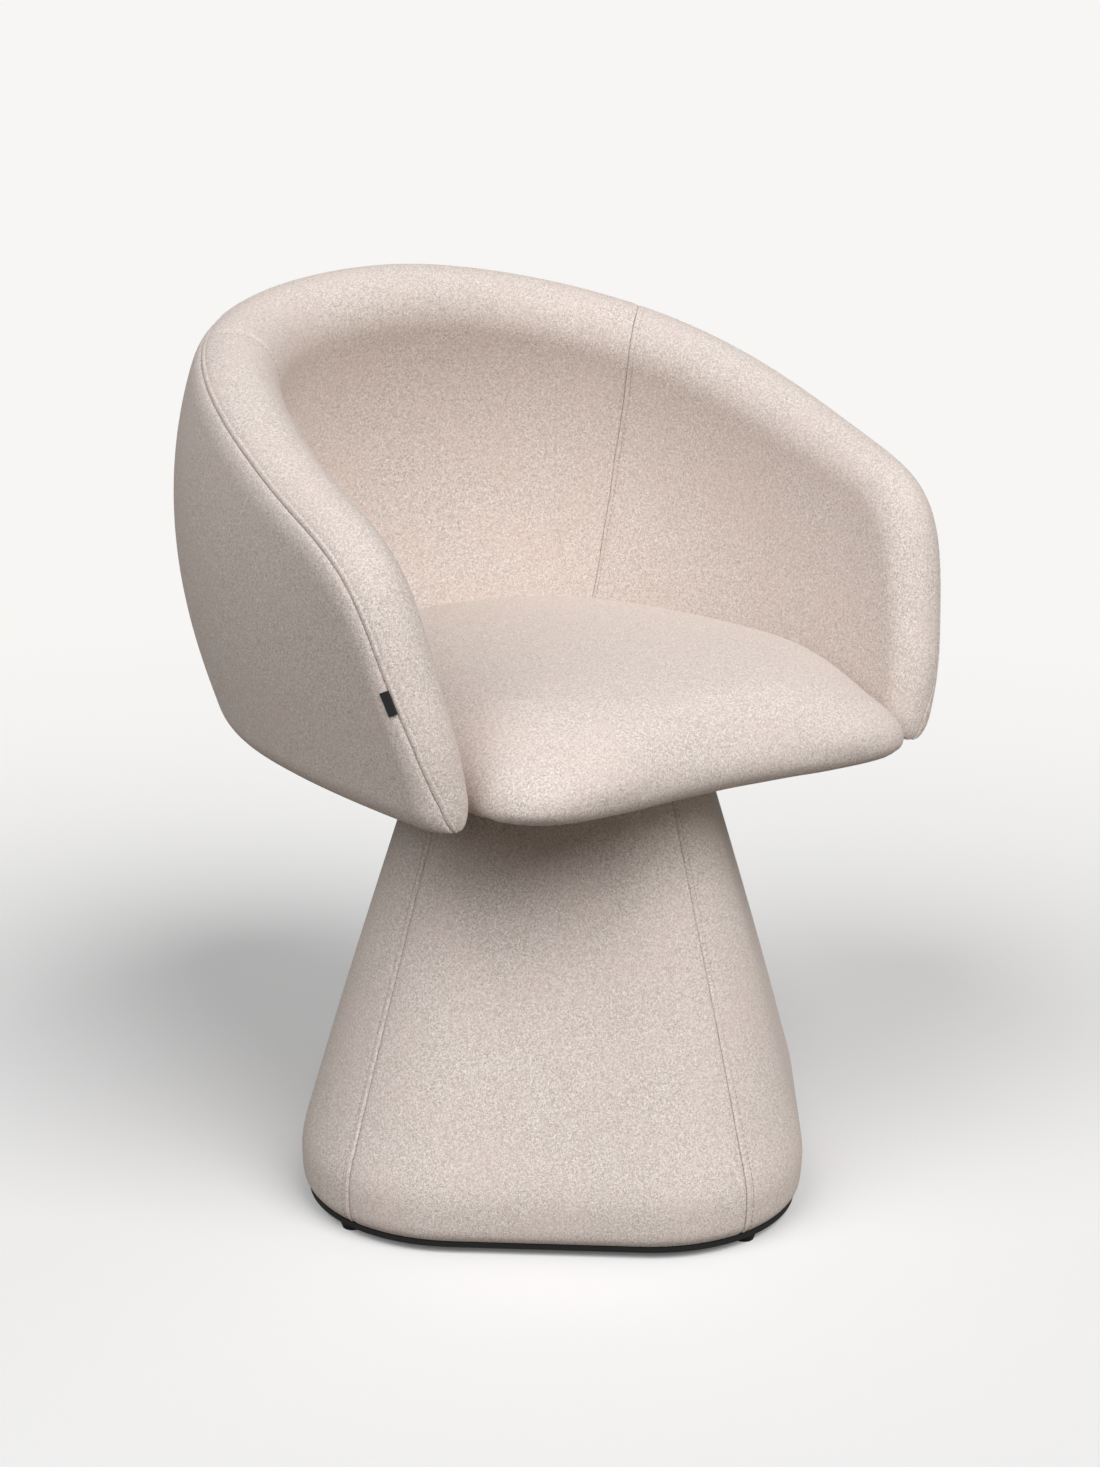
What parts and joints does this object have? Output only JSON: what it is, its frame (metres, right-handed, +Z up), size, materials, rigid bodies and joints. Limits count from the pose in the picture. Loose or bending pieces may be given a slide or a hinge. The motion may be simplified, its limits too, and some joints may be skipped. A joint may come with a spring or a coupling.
{
  "type": "upholstered swivel tub chair",
  "caption": "Low-armed upholstered tub chair: a wrap-round padded back and arms over a round-cornered flared base, swivelling freely about a vertical axis.",
  "frame": {"origin": "where the swivel axis meets the floor, at the centre of the base's footprint", "axes": "+Z up along the swivel axis; the sitter faces -Y at rest; +X is the sitter's left"},
  "size_m": [0.6138, 0.5963, 0.7752],
  "materials": {
    "felted_upholstery": "felted wool-like melange cloth, warm greige, matt",
    "upholstery_foam": "cut polyurethane foam",
    "plywood": "raw birch plywood",
    "black_steel": "black powder coat, fine texture",
    "bronze": "sintered bronze, oiled",
    "washer_nylon": "natural nylon",
    "glide_nylon": "black nylon",
    "dust_cloth": "black non-woven cloth",
    "tag_ribbon": "black woven ribbon, bare",
    "zinc_steel": "bright zinc plate"
  },
  "bodies": {
    "base": {"base_plate": "black_steel", "floor_glides": "glide_nylon", "glide_screws": "zinc_steel", "ballast_disc": "black_steel", "column_foot": "black_steel", "foot_bolts": "zinc_steel", "column_tube": "black_steel", "column_head": "black_steel", "base_shell": "plywood", "top_board": "plywood", "base_padding": "upholstery_foam", "base_cover_front": "felted_upholstery", "base_cover_right": "felted_upholstery", "base_cover_back": "felted_upholstery", "base_cover_left": "felted_upholstery", "bearing_housing": "zinc_steel", "bearing_bush": "bronze", "thrust_washer": "washer_nylon", "housing_bolts": "zinc_steel", "housing_nuts": "zinc_steel"},
    "seat": {"swivel_pin": "zinc_steel", "retaining_ring": "zinc_steel", "carrier_plate": "black_steel", "carrier_bolts": "zinc_steel", "tee_nuts": "zinc_steel", "band_core": "plywood", "frame_screws": "zinc_steel", "seat_board": "plywood", "left_arm_foam": "upholstery_foam", "back_foam": "upholstery_foam", "right_arm_foam": "upholstery_foam", "left_arm_lining": "felted_upholstery", "back_lining": "felted_upholstery", "right_arm_lining": "felted_upholstery", "left_outer_cover": "felted_upholstery", "right_outer_cover": "felted_upholstery", "underside_hem": "felted_upholstery", "dust_cover": "dust_cloth", "seat_foam": "upholstery_foam", "seat_cover": "felted_upholstery", "seam_tag": "tag_ribbon"}
  },
  "joints": [
    {"name": "swivel", "type": "hinge", "parent": "base", "child": "seat", "pos_m": [0, 0, 0.38], "axis": [0, 0, 1], "continuous": true}
  ]
}
